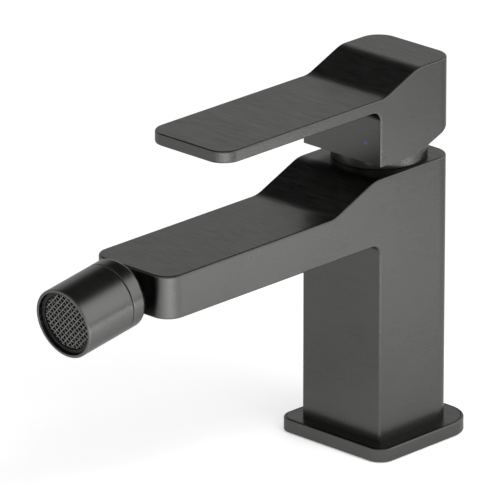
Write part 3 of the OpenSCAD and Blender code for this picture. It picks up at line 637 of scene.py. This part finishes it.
collar_low, collar_high = box_mm("neck_collar")
collar_r, collar_foot, collar_top = collar_high[0], collar_low[2], collar_high[2]
collar_bore_r, collar_eye_r, collar_thick = 16, 7.6, 1.1
foot_edge_r, rim_edge_r, eye_edge_r = 0.15, 0.4, 0.3
collar_ceiling = collar_top - collar_thick
fine_turns = 128
build(
    "neck_collar_look",
    [lathe(path((collar_bore_r, collar_foot, 0), (collar_r, collar_foot, foot_edge_r),
                (collar_r, collar_top, rim_edge_r), (collar_eye_r, collar_top, eye_edge_r),
                (collar_eye_r, collar_ceiling, 0), (collar_bore_r, collar_ceiling, 0),
                (collar_bore_r, collar_foot, 0), steps=6), fine_turns)],
    "root", ["neck_collar"], gunmetal,
)

# Lever. Block and handle plate are one die-cast zinc piece, ground flat and brushed, and clamped to the
# cartridge's stem by a set screw. The block's underside rises to the rear, which lets the lever tip.

lever_metal = brushed("brushed_lever_metal", 0.083)
lever_low, lever_high = box_mm("lever")
lever_front, lever_rear = lever_low[1], lever_high[1]
lever_foot, lever_top = lever_low[2], lever_high[2]
handle_top, handle_under = 142.0, 137.3
lever_slope_top, lever_slope_foot, lever_bend_r = 0.2, 18.3, 12
handle_corner_r, under_handle_r, lever_edge_r = 8.0, 4.4, 0.7
bevel_start, bevel_start_r, bevel_end_r, bevel_steps, lift_max = -0.4, 2, 5, 40, np.radians(21)
bevel_top = lever_foot + (lever_rear - bevel_start) * np.tan(lift_max)
plug_z, plug_r, plug_depth = 130.2, 3.05, 3.1
lever_under = slope(
    bevel_steps, (-lever_rear - over, lever_foot, 0), (bevel_start, lever_foot, bevel_start_r),
    (lever_rear, bevel_top, bevel_end_r), (lever_rear, lever_top, 0),
)[:-1]
build(
    "lever_look",
    block_and_arm(
        w=lever_high[0], front=lever_front, rear=lever_rear,
        front_r=handle_corner_r, rear_r=rear_corner_r,
        block=-lever_rear, under=handle_under, under_r=under_handle_r, foot=lever_foot,
        top=slope(slope_steps, (lever_rear, lever_top, 0), (-lever_slope_top, lever_top, lever_bend_r),
                  (-lever_slope_foot, handle_top, lever_bend_r), (lever_front, handle_top, 0)),
        bottom=lever_under, edge=lever_edge_r, block_edge=body_edge_r,
        holes={"rear": ((0, lever_rear, plug_z), BACK, round_hole(plug_r, plug_depth))},
    ),
    "handle", ["lever"], lever_metal,
)

# Dots. Two small pins with an enamelled face, blue for cold and red for hot, are pressed into round
# holes in the front face of the lever's block.

ahead_turn = np.array([[1, 0, 0], [0, 0, -1], [0, 1, 0]], float)
dot_edge_r, dot_turns = 0.1, 32
for dot, enamel, colour in (
    ("cold_dot", "blue_enamel", (0.012, 0.03, 0.11)),
    ("hot_dot", "red_enamel", (0.20, 0.01, 0.008)),
):
    dot_low, dot_high = box_mm(dot)
    dot_r, depth = (dot_high[0] - dot_low[0]) / 2, dot_high[1] - dot_low[1]
    middle = (dot_low + dot_high) / 2
    build(
        dot + "_look",
        [lathe(path((0, -depth, 0), (dot_r, -depth, 0), (dot_r, 0, dot_edge_r), (0, 0, 0), steps=4),
               dot_turns, (ahead_turn, np.array([middle[0], dot_low[1], middle[2]])))],
        "handle", [dot], plain(dot + "_enamel", colour, 0.35, coat=0.5),
    )

# Swivelling outlet. A turned brass shell in two halves, screwed together over a ball stud so that the
# jet can be aimed. A thin dark seam stays open between the halves, and the front half holds the
# aerator's black plastic cage.

ball_y, tilt = -142.8, np.radians(9.1)
outlet = (
    np.array([[1, 0, 0], [0, -np.sin(tilt), -np.cos(tilt)], [0, np.cos(tilt), -np.sin(tilt)]]),
    np.array([0, ball_y, ball_z]),
)
outlet_metal = brushed("brushed_outlet_metal", 0.1, turned=tilt)
outlet_r, outlet_rear, outlet_front, outlet_rear_r, outlet_front_r = 13.6, -5, 25.4, 2.6, 0.5
seam_rear, seam_front, seam_edge_r = 2.05, 2.35, 0.35
nut_eye_r, nut_eye_front, nut_room_r, nut_thread_r, nut_floor = 6.9, -4.7, 8.2, 11.2, -1.6
build(
    "swivel_nut_look",
    [lathe(path((nut_eye_r, nut_eye_front, 0), (nut_eye_r, outlet_rear, 0),
                (outlet_r, outlet_rear, outlet_rear_r), (outlet_r, seam_rear, seam_edge_r),
                (nut_thread_r, seam_rear, 0), (nut_thread_r, nut_floor, 0), (nut_room_r, nut_floor, 0),
                (nut_eye_r, nut_eye_front, 0)), fine_turns, outlet)],
    "outlet", ["swivel_nut"], outlet_metal,
)
sleeve_thread_r, sleeve_rear, ball_room_r, ball_room_front = 11.1, -1.5, 8.6, 6.7
sleeve_bore_r, sleeve_mouth_r, sleeve_floor, water_eye_r = 12.4, 0.2, 9.3, 5.4
build(
    "aerator_sleeve_look",
    [lathe(path((sleeve_thread_r, sleeve_rear, 0), (sleeve_thread_r, seam_front, 0),
                (outlet_r, seam_front, seam_edge_r), (outlet_r, outlet_front, outlet_front_r),
                (sleeve_bore_r, outlet_front, sleeve_mouth_r), (sleeve_bore_r, sleeve_floor, 0),
                (water_eye_r, sleeve_floor, 0), (water_eye_r, ball_room_front, 0),
                (ball_room_r, ball_room_front, 0), (ball_room_r, sleeve_rear, 0),
                (sleeve_thread_r, sleeve_rear, 0), steps=8), fine_turns, outlet)],
    "outlet", ["aerator_sleeve"], outlet_metal,
)
# Near black with dull highlights: the cage's own black plastic, and painted shade on the white plastic
# diffuser behind the screens, which takes this finish.
dark_plastic = plain("dark_plastic", (0.015, 0.015, 0.015), 0.5, shine=0.15)
cage_r, cage_rear, cage_front, cage_edge_r = 12.3, 11.05, 23.9, 0.25
cage_ring_r, cage_ring_rear, cage_bore_r = 10.9, 22.6, 10.2
cage_foot_r, cage_foot_front = 9.6, 13
build(
    "aerator_cage_look",
    [lathe(path((cage_foot_r, cage_rear, 0), (cage_r, cage_rear, 0), (cage_r, cage_front, cage_edge_r),
                (cage_ring_r, cage_front, cage_edge_r), (cage_ring_r, cage_ring_rear, 0),
                (cage_bore_r, cage_ring_rear, 0), (cage_bore_r, cage_foot_front, 0),
                (cage_foot_r, cage_foot_front, 0), (cage_foot_r, cage_rear, 0), steps=6),
           fine_turns, outlet)],
    "outlet", ["aerator_cage"], dark_plastic,
)

# Screens. Two round screens of woven steel wire lie one behind the other in the aerator's cage. The
# front one is fine and pale. The one behind it is coarser and lies in the dark: its steel is coloured
# near black, which is painted shade.


def tube(centre, side, lift, radius, steps=8):
    """Round wire: P(t, angle) = centre(t) + radius (cos(angle) side + sin(angle) lift(t))."""
    angle = np.linspace(0, 2 * np.pi, steps + 1)[None, :, None]
    n = np.cos(angle) * side + np.sin(angle) * lift[:, None]
    return centre[:, None] + radius * n, n


def weave(edge_r, pitch, radius, height):
    """Woven screen of wires at 45 degrees: wire i lies at u = (i + 1/2) pitch, and its height is
    radius sin(pi v / pitch) with the sign changing from wire to wire and between the directions."""
    points_per_pitch, least_points = 8, 5
    half_count = int(edge_r / pitch)
    grids = []
    for direction in (1, -1):
        run = np.array([1, -direction, 0]) * np.sqrt(0.5)
        side = np.array([direction, 1, 0]) * np.sqrt(0.5)
        for i in range(-half_count - 1, half_count + 1):
            u = (i + 0.5) * pitch
            if abs(u) > edge_r - radius:
                continue
            reach = np.sqrt(edge_r ** 2 - u ** 2) - radius
            v = np.linspace(-reach, reach, max(least_points, int(points_per_pitch * reach / pitch)))
            swing = direction * (-1) ** i * radius
            z = height + swing * np.sin(np.pi * v / pitch)
            slant = swing * np.pi / pitch * np.cos(np.pi * v / pitch)
            centre = v[:, None] * run + u * side + z[:, None] * np.array(UP)
            lift = np.array(UP) - slant[:, None] * run
            lift /= np.linalg.norm(lift, axis=1, keepdims=True)
            grids.append(seated(tube(centre, side, lift, radius), outlet))
    return grids


steel = plain("screen_steel", (0.13, 0.13, 0.125), 0.6, metal=0.1, grain=1.5)
# The inner screen's steel is coloured near black with dull highlights: painted shade in the cage's recess.
painted_shade_steel = plain("inner_screen_painted_shade", (0.006, 0.006, 0.006), 0.7, grain=1.5, shine=0.15)
build(
    "aerator_screen_look", weave(edge_r=10.7, pitch=1.7, radius=0.22, height=23.15),
    "outlet", ["aerator_screen"], steel,
)
build(
    "inner_screen_look", weave(edge_r=10.0, pitch=2.4, radius=0.25, height=21.1),
    "outlet", ["inner_screen"], painted_shade_steel,
)

# Cartridge and inner pieces. Moulded plastic and pressed ceramic pieces of the cartridge, its turned
# brass nut and stem, the ball stud, and the rubber seals. They keep the shapes of the CAD model.

brass = plain("turned_brass", (0.62, 0.42, 0.18), 0.3, metal=1.0, grain=1.2)
ceramic = plain("ceramic", (0.78, 0.77, 0.72), 0.3)
white_plastic = plain("white_plastic", (0.72, 0.73, 0.74), 0.45)
red_plastic = plain("red_plastic", (0.45, 0.05, 0.03), 0.45)
cap_plastic = plain("cap_plastic", (0.045, 0.045, 0.044), 0.35)
finishes = {
    "rubber": rubber, "bare_brass": brass, "ceramic": ceramic, "white_plastic": white_plastic,
    "red_plastic": red_plastic, "steel": steel, "dark_plastic": dark_plastic, "gunmetal_cap": cap_plastic,
    "gunmetal_brass": gunmetal, "gunmetal_zinc": lever_metal,
}
# The dark_plastic slot paints shade on the aerator's white plastic diffuser, and is the cage's own black
# elsewhere.
for part in frame["record"]["subparts"]:
    if part["material_slot"] in finishes:
        finish(part["node"], finishes[part["material_slot"]])

# Studio. A plain pale floor that is clear from below, and a pale backdrop with a brighter panel at the
# rear right. The ceiling is dark, with a round skylight straight above. Three soft lamps make pools of
# light on the floor, which the right sides, the handle and the front corners mirror.

room_white, ceiling, room_fill, floor_lift = 1.0, 0.03, 0.85, 0.32
backdrop_top, ceiling_start, ceiling_lean = 0.56, 0.76, 0.2
skylight_start, skylight_full = 0.955, 0.98
panel_edge, panel_full, panel_turn = 0.5, 0.8, 0.7
floor_reach, floor_level = 40, -0.0002


def seen(start):
    """1 for rays from the camera, from glossy surfaces and through clear ones, 0 for the others."""
    kinds = ("Camera", "Glossy", "Transmission")
    return sum(start.node("ShaderNodeLightPath", out=f"Is {kind} Ray") for kind in kinds)


floor_mesh = bpy.data.meshes.new("floor")
floor_corners = ((-1, -1), (1, -1), (1, 1), (-1, 1))
floor_mesh.from_pydata(
    [(floor_reach * x, floor_reach * y, floor_level) for x, y in floor_corners], [], [(0, 1, 2, 3)]
)
floor = bpy.data.objects.new("floor", floor_mesh)
bpy.context.scene.collection.objects.link(floor)
pale = bpy.data.materials.new("pale_floor")
pale.use_nodes = True
start = Wire(pale.node_tree)
surface = pale.node_tree.nodes["Principled BSDF"]
fill(surface, {
    "Base Color": grey(0.85), "Roughness": 1.0, "Specular IOR Level": 0.0,
    "Emission Color": grey(1.0), "Emission Strength": seen(start) * floor_lift,
})
from_below = start.node("ShaderNodeNewGeometry", out="Backfacing")
one_way = start.node("ShaderNodeMixShader", inputs={
    0: from_below, 1: Wire(pale.node_tree, surface.outputs[0]), 2: start.node("ShaderNodeBsdfTransparent"),
})
fill(pale.node_tree.nodes["Material Output"], {"Surface": one_way})
floor_mesh.materials.append(pale)

world = bpy.data.worlds.new("studio")
bpy.context.scene.world = world
world.use_nodes = True
start = Wire(world.node_tree)
sky = start.node("ShaderNodeTexCoord", out="Generated")
across, ahead, height = (sky.part(axis) for axis in range(3))
dark = (height - ceiling_lean * across).smooth(backdrop_top, ceiling_start)
dark = dark * (1.0 - height.smooth(skylight_start, skylight_full))
panel = (panel_turn * across + panel_turn * ahead).smooth(panel_edge, panel_full)
glow = (room_white + panel) * (1.0 - dark) + ceiling * dark
view = seen(start)
fill(world.node_tree.nodes["Background"], {
    "Color": grey(1.0), "Strength": view * glow + (1.0 - view) * room_fill,
})


def lamp(name, place, aim, size, power, beam):
    """Square soft lamp at place, in metres, turned to aim. It doesn't show in reflections."""
    data = bpy.data.lights.new(name, "AREA")
    data.shape, data.size, data.energy, data.spread = "SQUARE", size, power, np.radians(beam)
    made = bpy.data.objects.new(name, data)
    made.location = place
    made.rotation_euler = (Vector(aim) - Vector(place)).to_track_quat("-Z", "Y").to_euler()
    made.visible_glossy = False
    bpy.context.scene.collection.objects.link(made)


lamp("front_right", place=(0.32, -0.3, 0.4), aim=(0.25, -0.3, 0), size=0.25, power=1.4, beam=70)
lamp("right", place=(0.32, 0.05, 0.33), aim=(0.2, 0.08, 0), size=0.25, power=0.35, beam=70)
lamp("rear_right", place=(0.36, 0.14, 0.3), aim=(0.31, 0.13, 0), size=0.12, power=0.2, beam=45)

# Camera. It stands at the front right, a little above the mixer, with a long lens. Its place is
# counted in metres from the foot of the column's axis, to the right, upwards and back in the picture.

azimuth, elevation = np.radians(43.76), np.radians(20.31)
stand_right, stand_up, stand_back = -0.0484, 0.0676, 3.121
right = np.array([np.cos(azimuth), np.sin(azimuth), 0])
inward = np.array([-np.sin(azimuth), np.cos(azimuth), 0])
forward = inward * np.cos(elevation) - np.array(UP) * np.sin(elevation)
above = inward * np.sin(elevation) + np.array(UP) * np.cos(elevation)
camera = bpy.data.objects.new("camera", bpy.data.cameras.new("camera"))
camera.data.sensor_width = 36
camera.data.lens = 592.0
camera.data.clip_end = 100
camera.matrix_world = Matrix(np.column_stack([
    np.vstack([np.column_stack([right, above, -forward]), [0, 0, 0]]),
    np.append(stand_right * right + stand_up * above - stand_back * forward, 1),
]).tolist())
bpy.context.scene.collection.objects.link(camera)
bpy.context.scene.camera = camera
bpy.context.scene.view_settings.view_transform = "Standard"
